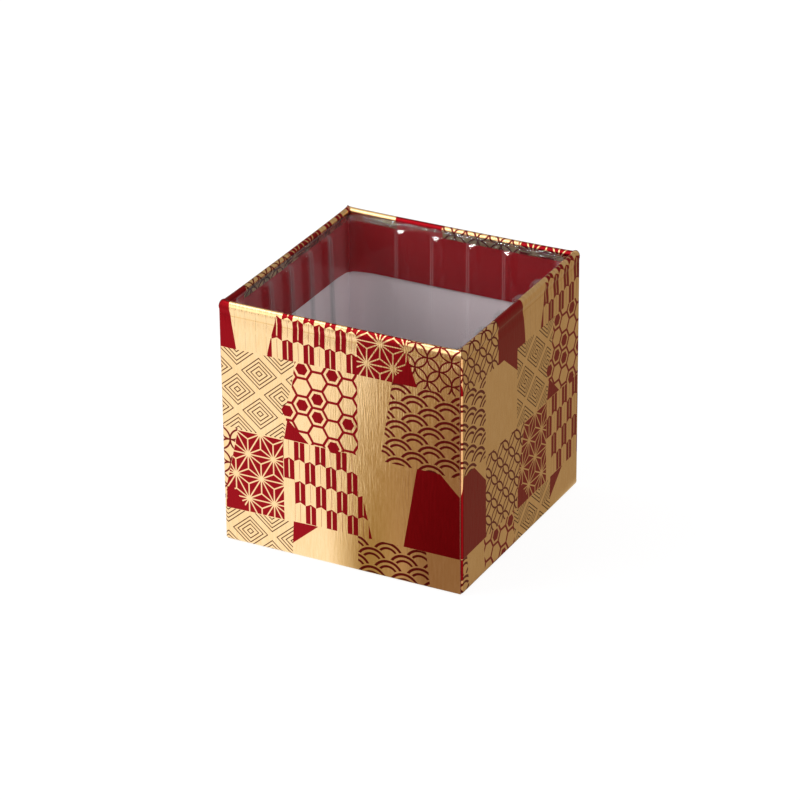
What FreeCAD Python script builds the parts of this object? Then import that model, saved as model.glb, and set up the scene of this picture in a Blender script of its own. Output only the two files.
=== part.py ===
"""Square paper tray: a tall folded card cup with a ribbed clear liner standing in it.

Millimetres, +Z up.  The origin is the middle of the underside, and the front wall faces -Y.

card_tray   one die-cut sheet: four walls that run on round the upright corners, a rim rolled over
            into a flap that is glued down inside, turned-in base flaps and one glue tab, which runs
            from the right wall round the front right corner and in behind the front wall
clear_liner one thin thermoformed cup: a lip, a sloping shoulder, drafted walls with half-round
            ribs whose tops are domed, and a flat floor with a bevelled edge
"""
import FreeCAD, Part
import math
import os
import Sketcher
from FreeCAD import Placement, Vector

SIZES = (
    # The card tray
    ("side", 65.0, "outside width and depth"),
    ("height", 65.0, "base to the top of the rim"),
    ("card", 0.5, "thickness of the card"),
    ("roll_radius", 0.9, "outside radius of the rolled rim"),
    ("tuck_radius", 2.5, "radius with which the flap runs from the roll to the wall"),
    ("tuck_gap", 0.1, "width at which the hollow of the roll ends"),
    ("flap_drop", 17.5, "rim to the lower edge of the flap"),
    ("flap_dip", 1.0, "extra depth of the flap in the corners"),
    ("flap_dip_run", 9.0, "length of each end of the flap that dips"),
    ("corner_radius", 0.7, "radius of the upright folds"),
    ("base_fold", 1.2, "radius of the folds round the base"),
    ("base_layers", 2.0, "layers of card in the base"),
    ("seam_width", 0.3, "width of the seams between the base flaps"),
    ("seam_depth", 0.2, "depth of the seams between the base flaps"),
    ("seam_margin", 1.6, "free edges of the outer base flap to the walls' outside"),
    ("tab_width", 12.0, "width of the glue tab"),
    ("tab_show", 0.9, "strip of the glue tab that the front wall's free edge leaves bare"),
    # The clear liner
    ("film", 0.35, "thickness of the liner"),
    ("lip_clearance", 0.12, "gap between the liner's lip and the rolled rim"),
    ("lip_drop", 1.3, "top of the rim to the liner's top edge"),
    ("lip_depth", 0.6, "height of the liner's upright lip"),
    ("shoulder_inset", 0.8, "width of the liner's sloping shoulder"),
    ("shoulder_depth", 0.5, "height of the liner's sloping shoulder"),
    ("draft", 1.5, "lean of the liner's walls, degrees"),
    ("liner_corner", 4.5, "radius of the liner's upright corners at the lip"),
    ("liner_foot", 1.5, "width and height of the bevel round the liner's floor"),
    ("rib_radius", 1.55, "outside radius of the half-round ribs"),
    ("rib_pitch", 10.0, "spacing of the ribs"),
    ("rib_count", 4.0, "ribs on each wall"),
)

# Expressions worked out from the sizes above
BASE = "(Sizes.base_layers * Sizes.card)"
FLAP_FACE = "(2 * Sizes.card)"
FLAP_LOW = "(Sizes.height - Sizes.flap_drop - Sizes.flap_dip)"
FLAP_MIDDLE = "(Sizes.height - Sizes.flap_drop)"
BASE_SEAT = "(Sizes.base_fold + 2 * Sizes.card)"
HALF = "(Sizes.side / 2)"
ROLL_LEVEL = "(Sizes.height - Sizes.roll_radius)"
LIP_HALF = "(Sizes.side / 2 - 2 * Sizes.roll_radius - Sizes.lip_clearance)"
LIP_TOP = "(Sizes.height - Sizes.lip_drop)"
LIP_BOTTOM = f"({LIP_TOP} - Sizes.lip_depth)"
WALL_TOP = f"({LIP_BOTTOM} - Sizes.shoulder_depth)"
SHOULDER_LEAN = "atan(Sizes.shoulder_inset / Sizes.shoulder_depth)"

START, END, CENTRE = range(1, 4)
ORIGIN = -1
CLEAR_OF_WALL = 1.0     # how far a cutter's far side reaches past the face that it cuts
TUCK_TURN = 40          # rough angle, before the tangents settle it, at which the roll ends
TUCK_END = 15           # rough angle short of upright at which the hollow of the roll ends


def make_sheet(doc):
    """Put the driving dimensions in a spreadsheet, each with its alias."""
    sheet = doc.addObject("Spreadsheet::Sheet", "Sizes")
    for row, (alias, value, meaning) in enumerate(SIZES, start=1):
        sheet.set(f"A{row}", meaning)
        sheet.set(f"B{row}", str(value))
        sheet.setAlias(f"B{row}", alias)
    doc.recompute()
    return sheet


def add_body(doc, label):
    body = doc.addObject("PartDesign::Body", label)
    body.Label = label
    body.Placement = Placement()
    return body


def origin_feature(body, role):
    """Return one of the body's own origin planes or axes by its role."""
    return next(item for item in body.Origin.OriginFeatures if item.Role == role)


def add_sketch(body, name, plane, **offset):
    """Attach a sketch to one of the origin planes; offset gives x, y or z in the plane's own axes."""
    sketch = body.newObject("Sketcher::SketchObject", name)
    sketch.AttachmentSupport = (origin_feature(body, plane), "")
    sketch.MapMode = "FlatFace"
    for axis, expression in offset.items():
        sketch.setExpression(f"AttachmentOffset.Base.{axis}", expression)
    return sketch


def value_of(sketch, expression):
    """Work out an expression now, for a sketch's starting geometry."""
    return float(sketch.evalExpression(expression))


def fix(sketch, kind, *where):
    sketch.addConstraint(Sketcher.Constraint(kind, *where))


def size(sketch, kind, *where, to):
    """Add a dimension that follows the expression."""
    index = sketch.addConstraint(Sketcher.Constraint(kind, *where, value_of(sketch, to)))
    sketch.setExpression(f"Constraints[{index}]", to)


def place(sketch, geometry, point, x=None, y=None):
    """Hold one point of the geometry at x and y, measured from the sketch's origin."""
    if x is not None:
        size(sketch, "DistanceX", ORIGIN, START, geometry, point, to=x)
    if y is not None:
        size(sketch, "DistanceY", ORIGIN, START, geometry, point, to=y)


def add_line(sketch, start, end):
    """Draw a line between two points, each a pair of expressions, with nothing fixed yet."""
    ends = [Vector(*(value_of(sketch, part) for part in point), 0) for point in (start, end)]
    return sketch.addGeometry(Part.LineSegment(*ends))


def add_arc(sketch, centre, radius, low, high):
    """Draw an arc from the low to the high angle in degrees; centre and radius are expressions."""
    middle = Vector(*(value_of(sketch, part) for part in centre), 0)
    circle = Part.Circle(middle, Vector(0, 0, 1), value_of(sketch, radius))
    return sketch.addGeometry(Part.ArcOfCircle(circle, math.radians(low), math.radians(high)))


def add_polygon(sketch, points):
    """Draw a closed chain of lines with each corner held at its pair of expressions."""
    lines = [add_line(sketch, here, there) for here, there in zip(points, points[1:] + points[:1])]
    for step, line in enumerate(lines):
        fix(sketch, "Coincident", line, END, lines[(step + 1) % len(lines)], START)
        place(sketch, line, START, *points[step])
    return lines


def add_rectangle(sketch, left, right, low, high):
    return add_polygon(sketch, [(left, low), (right, low), (right, high), (left, high)])


def add_rounded_square(sketch, half, radius):
    """Draw a square with rounded corners about the sketch's origin."""
    flat = f"({half} - {radius})"
    lines = [
        add_line(sketch, (f"-{flat}", f"-{half}"), (flat, f"-{half}")),
        add_line(sketch, (half, f"-{flat}"), (half, flat)),
        add_line(sketch, (flat, half), (f"-{flat}", half)),
        add_line(sketch, (f"-{half}", flat), (f"-{half}", f"-{flat}")),
    ]
    corners = [
        add_arc(sketch, (flat, f"-{flat}"), radius, 270, 360),
        add_arc(sketch, (flat, flat), radius, 0, 90),
        add_arc(sketch, (f"-{flat}", flat), radius, 90, 180),
        add_arc(sketch, (f"-{flat}", f"-{flat}"), radius, 180, 270),
    ]
    for step in range(4):
        fix(sketch, "Horizontal" if step % 2 == 0 else "Vertical", lines[step])
        fix(sketch, "Tangent", lines[step], END, corners[step], START)
        fix(sketch, "Tangent", corners[step], END, lines[(step + 1) % 4], START)
        size(sketch, "Radius", corners[step], to=radius)
    place(sketch, lines[0], START, y=f"-{half}")
    place(sketch, lines[1], START, x=half)
    place(sketch, lines[2], START, y=half)
    place(sketch, lines[3], START, x=f"-{half}")


def extrude(body, kind, sketch, length, reverse=False, lean=None):
    """Pad or pocket the sketch along its normal; lean is the draft angle."""
    feature = body.newObject(f"PartDesign::{kind}", f"{sketch.Name}_{kind}")
    feature.Profile = sketch
    feature.Type = "Length"
    feature.Reversed = reverse
    feature.setExpression("Length", length)
    if lean is not None:
        feature.setExpression("TaperAngle", lean)
    return feature


def polar(body, features, name):
    """Repeat features on all four walls."""
    pattern = body.newObject("PartDesign::PolarPattern", name)
    pattern.Originals = features
    pattern.Axis = (origin_feature(body, "Z_Axis"), "")
    pattern.Angle = 360
    pattern.Occurrences = 4
    body.Tip = pattern
    return pattern


# ---- card tray ------------------------------------------------------------------------------

def add_wall_path(body):
    """Square route of the walls, starting in the middle of the front one."""
    sketch = add_sketch(body, "wall_path", "XY_Plane")
    middle = ("0", f"-{HALF}")
    points = [middle, (HALF, f"-{HALF}"), (HALF, HALF), (f"-{HALF}", HALF), (f"-{HALF}", f"-{HALF}")]
    add_polygon(sketch, points)
    return sketch


def add_wall_section(body):
    """Wall, rolled rim and flap in section; sketch x is the distance in from the outside."""
    sketch = add_sketch(body, "wall_section", "YZ_Plane", x=f"-{HALF}")
    outside = add_line(sketch, ("0", "Sizes.base_fold"), ("0", ROLL_LEVEL))
    roll = add_arc(sketch, ("Sizes.roll_radius", ROLL_LEVEL), "Sizes.roll_radius", -TUCK_TURN, 180)
    tuck_middle = (f"({FLAP_FACE} + Sizes.tuck_radius)", f"({ROLL_LEVEL} - Sizes.tuck_radius)")
    tuck = add_arc(sketch, tuck_middle, "Sizes.tuck_radius", 180 - TUCK_TURN, 180)
    flap = add_line(sketch, (FLAP_FACE, f"({ROLL_LEVEL} - Sizes.tuck_radius)"), (FLAP_FACE, FLAP_LOW))
    edge = add_line(sketch, (FLAP_FACE, FLAP_LOW), ("Sizes.card", FLAP_LOW))
    inside = add_line(sketch, ("Sizes.card", FLAP_LOW), ("Sizes.card", BASE))
    base_top = add_line(sketch, ("Sizes.card", BASE), (BASE_SEAT, BASE))
    base_end = add_line(sketch, (BASE_SEAT, BASE), (BASE_SEAT, "0"))
    underside = add_line(sketch, (BASE_SEAT, "0"), ("Sizes.base_fold", "0"))
    fold = add_arc(sketch, ("Sizes.base_fold", "Sizes.base_fold"), "Sizes.base_fold", 180, 270)

    fix(sketch, "Tangent", outside, END, roll, END)
    fix(sketch, "Tangent", roll, START, tuck, START)
    fix(sketch, "Tangent", tuck, END, flap, START)
    for before, after in ((flap, edge), (edge, inside), (inside, base_top), (base_top, base_end),
                          (base_end, underside)):
        fix(sketch, "Coincident", before, END, after, START)
    fix(sketch, "Tangent", underside, END, fold, END)
    fix(sketch, "Tangent", fold, START, outside, START)
    for line in (outside, flap, inside, base_end):
        fix(sketch, "Vertical", line)
    for line in (edge, base_top, underside):
        fix(sketch, "Horizontal", line)
    size(sketch, "Radius", roll, to="Sizes.roll_radius")
    size(sketch, "Radius", tuck, to="Sizes.tuck_radius")
    size(sketch, "Radius", fold, to="Sizes.base_fold")
    place(sketch, roll, CENTRE, x="Sizes.roll_radius", y=ROLL_LEVEL)
    place(sketch, flap, END, x=FLAP_FACE, y=FLAP_LOW)
    place(sketch, inside, START, x="Sizes.card")
    place(sketch, base_end, START, x=BASE_SEAT, y=BASE)
    place(sketch, underside, START, y="0")
    return sketch


def add_roll_hollow(body):
    """Drop-shaped hollow inside the rolled rim, between the wall and the flap."""
    sketch = add_sketch(body, "roll_hollow", "YZ_Plane", x=f"-{HALF}")
    radius = "(Sizes.roll_radius - Sizes.card)"
    tuck = "(Sizes.tuck_radius + Sizes.card)"
    low = f"({ROLL_LEVEL} - Sizes.roll_radius)"
    back = add_line(sketch, ("Sizes.card", low), ("Sizes.card", ROLL_LEVEL))
    bend = add_arc(sketch, ("Sizes.roll_radius", ROLL_LEVEL), radius, -TUCK_TURN, 180)
    tuck_middle = (f"({FLAP_FACE} + Sizes.tuck_radius)", f"({ROLL_LEVEL} - Sizes.tuck_radius)")
    run = add_arc(sketch, tuck_middle, tuck, 180 - TUCK_TURN, 180 - TUCK_END)
    foot = add_line(sketch, ("(Sizes.card + Sizes.tuck_gap)", low), ("Sizes.card", low))
    fix(sketch, "Tangent", back, END, bend, END)
    fix(sketch, "Tangent", bend, START, run, START)
    fix(sketch, "Coincident", run, END, foot, START)
    fix(sketch, "Coincident", foot, END, back, START)
    fix(sketch, "Vertical", back)
    fix(sketch, "Horizontal", foot)
    size(sketch, "Radius", bend, to=radius)
    size(sketch, "Radius", run, to=tuck)
    place(sketch, bend, CENTRE, x="Sizes.roll_radius", y=ROLL_LEVEL)
    place(sketch, run, CENTRE, x=f"({FLAP_FACE} + Sizes.tuck_radius)")
    place(sketch, foot, START, x="(Sizes.card + Sizes.tuck_gap)")
    return sketch


def sweep(body, kind, section, path):
    """Carry a section round the path with mitred corners."""
    feature = body.newObject(f"PartDesign::{kind}", f"{section.Name}_sweep")
    feature.Profile = section
    feature.Spine = (path, [f"Edge{number + 1}" for number in range(path.GeometryCount)])
    feature.Transition = "Right corner"
    return feature


def trim_flap(body):
    """Raise the flap's lower edge on each wall, so that it dips only towards the corners."""
    sketch = add_sketch(body, "flap_edge", "XZ_Plane", z=f"({HALF} - Sizes.card)")
    reach = f"({HALF} - {FLAP_FACE})"
    straight = f"({HALF} - {FLAP_FACE} - Sizes.flap_dip_run)"
    radius = "((Sizes.flap_dip_run ^ 2 + Sizes.flap_dip ^ 2) / (2 * Sizes.flap_dip))"
    centre = f"({FLAP_MIDDLE} - {radius})"
    dip = value_of(sketch, "2 * atan(Sizes.flap_dip / Sizes.flap_dip_run) / 1deg")
    top = add_line(sketch, (f"-{straight}", FLAP_MIDDLE), (straight, FLAP_MIDDLE))
    right = add_arc(sketch, (straight, centre), radius, 90 - dip, 90)
    bottom = add_line(sketch, (reach, FLAP_LOW), (f"-{reach}", FLAP_LOW))
    left = add_arc(sketch, (f"-{straight}", centre), radius, 90, 90 + dip)
    fix(sketch, "Tangent", top, END, right, END)
    fix(sketch, "Tangent", left, START, top, START)
    fix(sketch, "Coincident", right, START, bottom, START)
    fix(sketch, "Coincident", bottom, END, left, END)
    fix(sketch, "Horizontal", top)
    place(sketch, top, START, x=f"-{straight}", y=FLAP_MIDDLE)
    place(sketch, top, END, x=straight)
    place(sketch, bottom, START, x=reach, y=FLAP_LOW)
    place(sketch, bottom, END, x=f"-{reach}", y=FLAP_LOW)
    return extrude(body, "Pocket", sketch, "Sizes.card")


def round_upright_folds(body):
    """Round one upright fold between the base fold and the roll, outside only."""
    sketch = add_sketch(body, "upright_fold", "XY_Plane", z="Sizes.base_fold")
    inner = f"({HALF} - Sizes.corner_radius)"
    outer = f"({HALF} + {CLEAR_OF_WALL})"
    bend = add_arc(sketch, (inner, inner), "Sizes.corner_radius", 0, 90)
    rise = add_line(sketch, (inner, HALF), (inner, outer))
    across = add_line(sketch, (inner, outer), (outer, outer))
    down = add_line(sketch, (outer, outer), (outer, inner))
    back = add_line(sketch, (outer, inner), (HALF, inner))
    fix(sketch, "Coincident", bend, END, rise, START)
    fix(sketch, "Coincident", rise, END, across, START)
    fix(sketch, "Coincident", across, END, down, START)
    fix(sketch, "Coincident", down, END, back, START)
    fix(sketch, "Coincident", back, END, bend, START)
    fix(sketch, "Vertical", rise)
    fix(sketch, "Horizontal", across)
    fix(sketch, "Vertical", down)
    fix(sketch, "Horizontal", back)
    place(sketch, bend, CENTRE, x=inner, y=inner)
    place(sketch, bend, START, y=inner)
    place(sketch, bend, END, x=inner)
    size(sketch, "Radius", bend, to="Sizes.corner_radius")
    place(sketch, across, END, x=outer, y=outer)
    return extrude(body, "Pocket", sketch, f"({ROLL_LEVEL} - Sizes.base_fold)", reverse=True)


def add_base(body):
    """Fill the base inside the turned-in folds."""
    sketch = add_sketch(body, "base_panel", "XY_Plane")
    half = f"({HALF} - {BASE_SEAT})"
    add_rectangle(sketch, f"-{half}", half, f"-{half}", half)
    return extrude(body, "Pad", sketch, BASE)


def add_glue_tab(body):
    """The tab that closes the sheet lies inside the front wall, next to the right corner."""
    sketch = add_sketch(body, "glue_tab", "XY_Plane", z=BASE)
    left, right = f"({HALF} - Sizes.card - Sizes.tab_width)", f"({HALF} - Sizes.card)"
    low, high = f"-({HALF} - Sizes.card)", f"-({HALF} - {FLAP_FACE})"
    add_rectangle(sketch, left, right, low, high)
    return extrude(body, "Pad", sketch, f"({FLAP_LOW} - {BASE})")


def cut_free_edge(body):
    """End the front wall's sheet just short of the right corner, so that the tab's fold shows."""
    sketch = add_sketch(body, "free_edge", "XY_Plane")
    left = f"({HALF} - Sizes.tab_show)"
    tab_face = f"-({HALF} - Sizes.card)"
    flat_end = f"({HALF} - Sizes.corner_radius)"
    bend_end = f"-({HALF} - Sizes.card - Sizes.corner_radius)"
    clear = f"({HALF} + {CLEAR_OF_WALL})"
    bend = add_arc(sketch, (flat_end, bend_end), "Sizes.corner_radius", 270, 360)
    chain = [(HALF, bend_end), (clear, bend_end), (clear, f"-{clear}"), (left, f"-{clear}"),
             (left, tab_face), (flat_end, tab_face)]
    lines = [add_line(sketch, here, there) for here, there in zip(chain, chain[1:])]
    fix(sketch, "Coincident", bend, END, lines[0], START)
    for before, after in zip(lines, lines[1:]):
        fix(sketch, "Coincident", before, END, after, START)
    fix(sketch, "Coincident", lines[-1], END, bend, START)
    for line, point in zip(lines, chain):
        place(sketch, line, START, *point)
    place(sketch, bend, START, x=flat_end, y=tab_face)
    size(sketch, "Radius", bend, to="Sizes.corner_radius")
    return extrude(body, "Pocket", sketch, ROLL_LEVEL, reverse=True)


def cut_base_seams(body):
    """Free edges of the outer base flap underneath, and of the inner pair where they meet."""
    under = add_sketch(body, "outer_seam", "XY_Plane")
    far = f"({HALF} - Sizes.seam_margin)"
    near = f"({far} - Sizes.seam_width)"
    hinge = f"-({HALF} - Sizes.base_fold - Sizes.card)"
    add_polygon(under, [(f"-{far}", hinge), (f"-{near}", hinge), (f"-{near}", near), (near, near),
                        (near, hinge), (far, hinge), (far, far), (f"-{far}", far)])
    extrude(body, "Pocket", under, "Sizes.seam_depth", reverse=True)
    over = add_sketch(body, "inner_seam", "XY_Plane", z=BASE)
    edge = "(Sizes.seam_width / 2)"
    reach = f"({HALF} - {FLAP_FACE})"
    add_rectangle(over, f"-{edge}", edge, f"-{reach}", reach)
    return extrude(body, "Pocket", over, "Sizes.seam_depth")


def make_card_tray(doc):
    body = add_body(doc, "card_tray")
    path = add_wall_path(body)
    sweep(body, "AdditivePipe", add_wall_section(body), path)
    add_base(body)
    sweep(body, "SubtractivePipe", add_roll_hollow(body), path)
    polar(body, [trim_flap(body)], "flap_edges")
    polar(body, [round_upright_folds(body)], "upright_folds")
    add_glue_tab(body)
    cut_free_edge(body)
    body.Tip = cut_base_seams(body)
    return body


# ---- clear liner ----------------------------------------------------------------------------

def add_plan(body, name, level, half, radius):
    """Sketch the liner's outline at one level: a rounded square."""
    sketch = add_sketch(body, name, "XY_Plane", z=level)
    add_rounded_square(sketch, half, radius)
    return sketch


def add_rib(body, grow, domed):
    """Cut one half-round rib, a leaning cylinder with a domed or conical tip, on the front wall."""
    wall_half = f"({LIP_HALF} - Sizes.shoulder_inset)"
    first = "-(Sizes.rib_count - 1) / 2 * Sizes.rib_pitch"
    sketch = add_sketch(body, "rib_section", "YZ_Plane", x=f"-{wall_half}",
                        y=f"({WALL_TOP} - Sizes.rib_radius)", z=first)
    sketch.setExpression("AttachmentOffset.Rotation.Angle", "Sizes.draft")
    radius = f"(Sizes.rib_radius + {grow})"
    if domed:
        tip = add_arc(sketch, ("0", "0"), radius, 90, 180)
        size(sketch, "Radius", tip, to=radius)
        fix(sketch, "Coincident", tip, CENTRE, ORIGIN, START)
    else:
        tip = add_line(sketch, ("0", radius), (f"-{radius}", "0"))
        place(sketch, tip, START, y=radius)
        place(sketch, tip, END, x=f"-{radius}")
    axis = add_line(sketch, ("0", radius), ("0", "-Sizes.height"))
    foot = add_line(sketch, ("0", "-Sizes.height"), (f"-{radius}", "-Sizes.height"))
    side = add_line(sketch, (f"-{radius}", "-Sizes.height"), (f"-{radius}", "0"))
    fix(sketch, "Coincident", tip, START, axis, START)
    fix(sketch, "Coincident", axis, END, foot, START)
    fix(sketch, "Coincident", foot, END, side, START)
    fix(sketch, "Coincident", side, END, tip, END)
    fix(sketch, "Vertical", axis)
    fix(sketch, "Horizontal", foot)
    fix(sketch, "Vertical", side)
    place(sketch, axis, START, x="0")
    place(sketch, axis, END, y="-Sizes.height")
    place(sketch, side, END, y="0")
    groove = body.newObject("PartDesign::Groove", "rib")
    groove.Profile = sketch
    groove.ReferenceAxis = (sketch, ["V_Axis"])
    groove.Angle = 360
    return groove


def repeat_rib(body, rib):
    """Repeat the rib along its wall and then on all four walls."""
    both = body.newObject("PartDesign::MultiTransform", "ribs")
    both.Originals = [rib]
    along = body.newObject("PartDesign::LinearPattern", "along_wall")
    along.Direction = (origin_feature(body, "X_Axis"), "")
    along.setExpression("Length", "(Sizes.rib_count - 1) * Sizes.rib_pitch")
    along.setExpression("Occurrences", "Sizes.rib_count")
    around = body.newObject("PartDesign::PolarPattern", "round_walls")
    around.Axis = (origin_feature(body, "Z_Axis"), "")
    around.Angle = 360
    around.Occurrences = 4
    both.Transformations = [along, around]
    body.Tip = both
    return both


def make_liner_form(doc, label, grow, top, domed):
    """A solid plug of the liner's shape, smaller all round by grow: the outside or the cavity."""
    body = add_body(doc, label)
    floor = f"({BASE} + {grow})"
    wall_low = f"({floor} + Sizes.liner_foot)"
    wall_high = f"({WALL_TOP} + {grow} / 2)"
    shoulder_high = f"({LIP_BOTTOM} + {grow} / 2)"
    half = f"({LIP_HALF} - Sizes.shoulder_inset - {grow})"
    low_half = f"({half} - ({wall_high} - {wall_low}) * tan(Sizes.draft))"
    corner = f"(Sizes.liner_corner - Sizes.shoulder_inset - {grow})"

    low_corner = f"({corner} - ({wall_high} - {wall_low}) * tan(Sizes.draft))"
    walls = add_plan(body, "wall_plan", wall_high, half, corner)
    extrude(body, "Pad", walls, f"({wall_high} - {wall_low})", reverse=True, lean="-Sizes.draft")
    foot = add_plan(body, "foot_plan", wall_low, low_half, low_corner)
    extrude(body, "Pad", foot, "Sizes.liner_foot", reverse=True, lean="-45")
    repeat_rib(body, add_rib(body, grow, domed))
    shoulder = add_plan(body, "shoulder_plan", wall_high, half, corner)
    extrude(body, "Pad", shoulder, f"({shoulder_high} - {wall_high})", lean=SHOULDER_LEAN)
    lip = add_plan(body, "lip_plan", shoulder_high, f"({LIP_HALF} - {grow})",
                   f"(Sizes.liner_corner - {grow})")
    body.Tip = extrude(body, "Pad", lip, f"({top} - {shoulder_high})")
    return body


def make_clear_liner(doc):
    """Hollow the outside form with the cavity form, one film thickness smaller all round.

    The ribs are domed on the inside, where they show, over a plain cone behind.
    """
    outside = make_liner_form(doc, "liner_outside", "0", LIP_TOP, domed=False)
    cavity = make_liner_form(doc, "liner_cavity", "Sizes.film", "(Sizes.height + Sizes.card)", domed=True)
    liner = doc.addObject("Part::Cut", "clear_liner")
    liner.Label = "clear_liner"
    liner.Base = outside
    liner.Tool = cavity
    liner.Refine = True
    return liner


def check(doc):
    """Stop if any object failed to recompute."""
    for item in doc.Objects:
        bad = [word for word in item.State if word in ("Invalid", "Error")]
        if bad:
            raise RuntimeError(f"{item.Name}: {', '.join(bad)}")


def write_parts(pieces):
    """Write each sub-part to its own STEP file once all of them are sound."""
    for piece in pieces:
        shape = piece.Shape
        if shape.isNull() or not shape.isValid() or len(shape.Solids) != 1:
            raise RuntimeError(f"{piece.Label} is not one sound solid")
        print(f"{piece.Label}: {shape.Volume:.1f} mm3")
    os.makedirs("parts", exist_ok=True)
    for piece in pieces:
        piece.Shape.exportStep(os.path.join("parts", f"{piece.Label}.step"))


def main():
    doc = FreeCAD.newDocument("paper_tray")
    make_sheet(doc)
    pieces = [make_card_tray(doc), make_clear_liner(doc)]
    doc.recompute()
    check(doc)
    write_parts(pieces)


main()
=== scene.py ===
"""Looks of the square paper tray: a card cup printed with gold foil and red ink, and its clear liner.

Lengths are millimetres unless a name says otherwise; MM turns them into the frame's metres.
The card is one printed sheet.  A place on it has two coordinates: along, once round the four walls
from the front right corner (right wall, back, left, front), and up, from the middle of the
underside over the wall, the rolled rim and the inside down to the middle of the floor.
"""

import math

import bpy
import numpy as np
from mathutils import Matrix, Vector
from mathutils.geometry import delaunay_2d_cdt


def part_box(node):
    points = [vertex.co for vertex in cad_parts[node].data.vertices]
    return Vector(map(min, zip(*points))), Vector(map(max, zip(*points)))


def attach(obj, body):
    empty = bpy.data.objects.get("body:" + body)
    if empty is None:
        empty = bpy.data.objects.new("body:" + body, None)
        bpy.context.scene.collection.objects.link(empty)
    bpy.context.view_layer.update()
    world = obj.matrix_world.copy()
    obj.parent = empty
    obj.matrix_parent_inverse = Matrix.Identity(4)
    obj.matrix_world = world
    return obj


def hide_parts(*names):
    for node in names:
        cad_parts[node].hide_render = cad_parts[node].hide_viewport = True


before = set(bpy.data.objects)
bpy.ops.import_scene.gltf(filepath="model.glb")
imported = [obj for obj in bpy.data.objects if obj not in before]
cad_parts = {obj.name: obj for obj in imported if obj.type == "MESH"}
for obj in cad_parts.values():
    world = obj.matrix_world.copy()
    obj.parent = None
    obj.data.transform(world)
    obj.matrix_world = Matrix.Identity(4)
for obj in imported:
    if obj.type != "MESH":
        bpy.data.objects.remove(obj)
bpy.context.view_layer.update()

MM = 0.001
TRAY_LOW, TRAY_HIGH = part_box("card_tray")
LINER_LOW, LINER_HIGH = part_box("clear_liner")

# ---- sizes of the card tray --------------------------------------------------------------------

SIDE = (TRAY_HIGH.x - TRAY_LOW.x) / MM
HEIGHT = TRAY_HIGH.z / MM
HALF = SIDE / 2
ROUND = 4 * SIDE            # length of the sheet once round the walls
CARD = 0.5                  # thickness of the card
FLAP_FACE = 2 * CARD        # distance in from the outside of the flap's face
BASE_TOP = 2 * CARD         # level of the inner floor
BASE_FOLD = 1.2             # radius of the folds round the base
ROLL_RADIUS = 0.9           # outside radius of the rolled rim
ROLL_RISE = 2.0             # height over which the roll's outer side curves in to its top
NECK = 0.16                 # how far the wall draws in just below the roll
TUCK_RADIUS = 2.5           # radius with which the flap runs from the roll to the wall
FLAP_DROP = 17.5            # rim to the lower edge of the flap
FLAP_DIP = 1.0              # extra depth of the flap in the corners
FLAP_DIP_RUN = 9.0          # length of each end of the flap that dips
WALL_CORNER = 0.5           # radius of the upright folds
RIM_CORNER = 0.12           # radius of the mitred corners of the rim and the base
INNER_CORNER = 0.3          # radius of the upright folds inside
STRAIGHT = 30.5             # half of the straight stretch of a wall, before its corners
ARC_SHARE = 0.7             # share of the rest that is still straight
TAB_SHOW = 0.6              # strip of the glue tab that the front wall's free edge leaves bare
CUT_START = ROUND - TAB_SHOW        # place along the sheet of that free edge
TAB_FOLD = 0.3              # where on the strip the fold's curve begins
TAB_WIDTH = 12.0            # width of the glue tab behind the front wall
TAB_STEP = 0.06             # width over which the tab's edge rises
SEAM_MARGIN = 1.6           # free edges of the outer base flap to the walls' outside
SEAM_WIDTH = 0.3            # width of the seams between the base flaps
SEAM_DEPTH = 0.2            # depth of the seams between the base flaps
BOW = 0.16                  # how far the walls bow in between the corners
RIM_SAG = 0.15              # how far the rim drops between the corners
RIM_NUB = 0.35              # how far the folded corners of the rim stand up
RIPPLE = 0.025              # gentle unevenness of the walls

# Places up the sheet, and some levels of the folded tray
TUCK_TURN = math.acos((FLAP_FACE + TUCK_RADIUS - ROLL_RADIUS) / (ROLL_RADIUS + TUCK_RADIUS))
UP_FOLD = BASE_FOLD - BASE_FOLD * math.pi / 2
UP_CENTRE = UP_FOLD - (HALF - BASE_FOLD)
UP_ROLL = HEIGHT - ROLL_RISE
UP_TOP = UP_ROLL + math.pi / 2 * math.hypot(ROLL_RADIUS, ROLL_RISE) / math.sqrt(2)
UP_TUCK = UP_TOP + ROLL_RADIUS * (math.pi / 2 + TUCK_TURN)
UP_FLAP = UP_TUCK + TUCK_RADIUS * TUCK_TURN
TUCK_LEVEL = HEIGHT - ROLL_RADIUS - (ROLL_RADIUS + TUCK_RADIUS) * math.sin(TUCK_TURN)
FLAP_LEVEL = HEIGHT - FLAP_DROP
UP_EDGE = UP_FLAP + TUCK_LEVEL - FLAP_LEVEL
UP_INNER = UP_EDGE + CARD
UP_FLOOR = UP_INNER + FLAP_LEVEL - BASE_TOP
UP_MIDDLE = UP_FLOOR + HALF - CARD
UP_SEAM = UP_FOLD - (SEAM_MARGIN + SEAM_WIDTH / 2 - BASE_FOLD)
UP_INSIDE = UP_TOP + ROLL_RADIUS * math.pi / 2      # innermost line of the rolled rim
PRINT_TOP = UP_FLAP + 0.4   # end of the pattern, just inside the rim; the flap below is plain red

# Each wall's direction along the sheet and outwards, from the right wall round to the front
WALLS = ((Vector((0, 1)), Vector((1, 0))), (Vector((-1, 0)), Vector((0, 1))),
         (Vector((0, -1)), Vector((-1, 0))), (Vector((1, 0)), Vector((0, -1))))
ALONG = np.array([wall[0] for wall in WALLS])
OUT = np.array([wall[1] for wall in WALLS])


def ramp(value, low, high):
    """Rise smoothly from 0 at low to 1 at high."""
    share = np.clip((value - low) / (high - low), 0, 1)
    return share * share * (3 - 2 * share)


# ---- form of the sheet -------------------------------------------------------------------------

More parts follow.
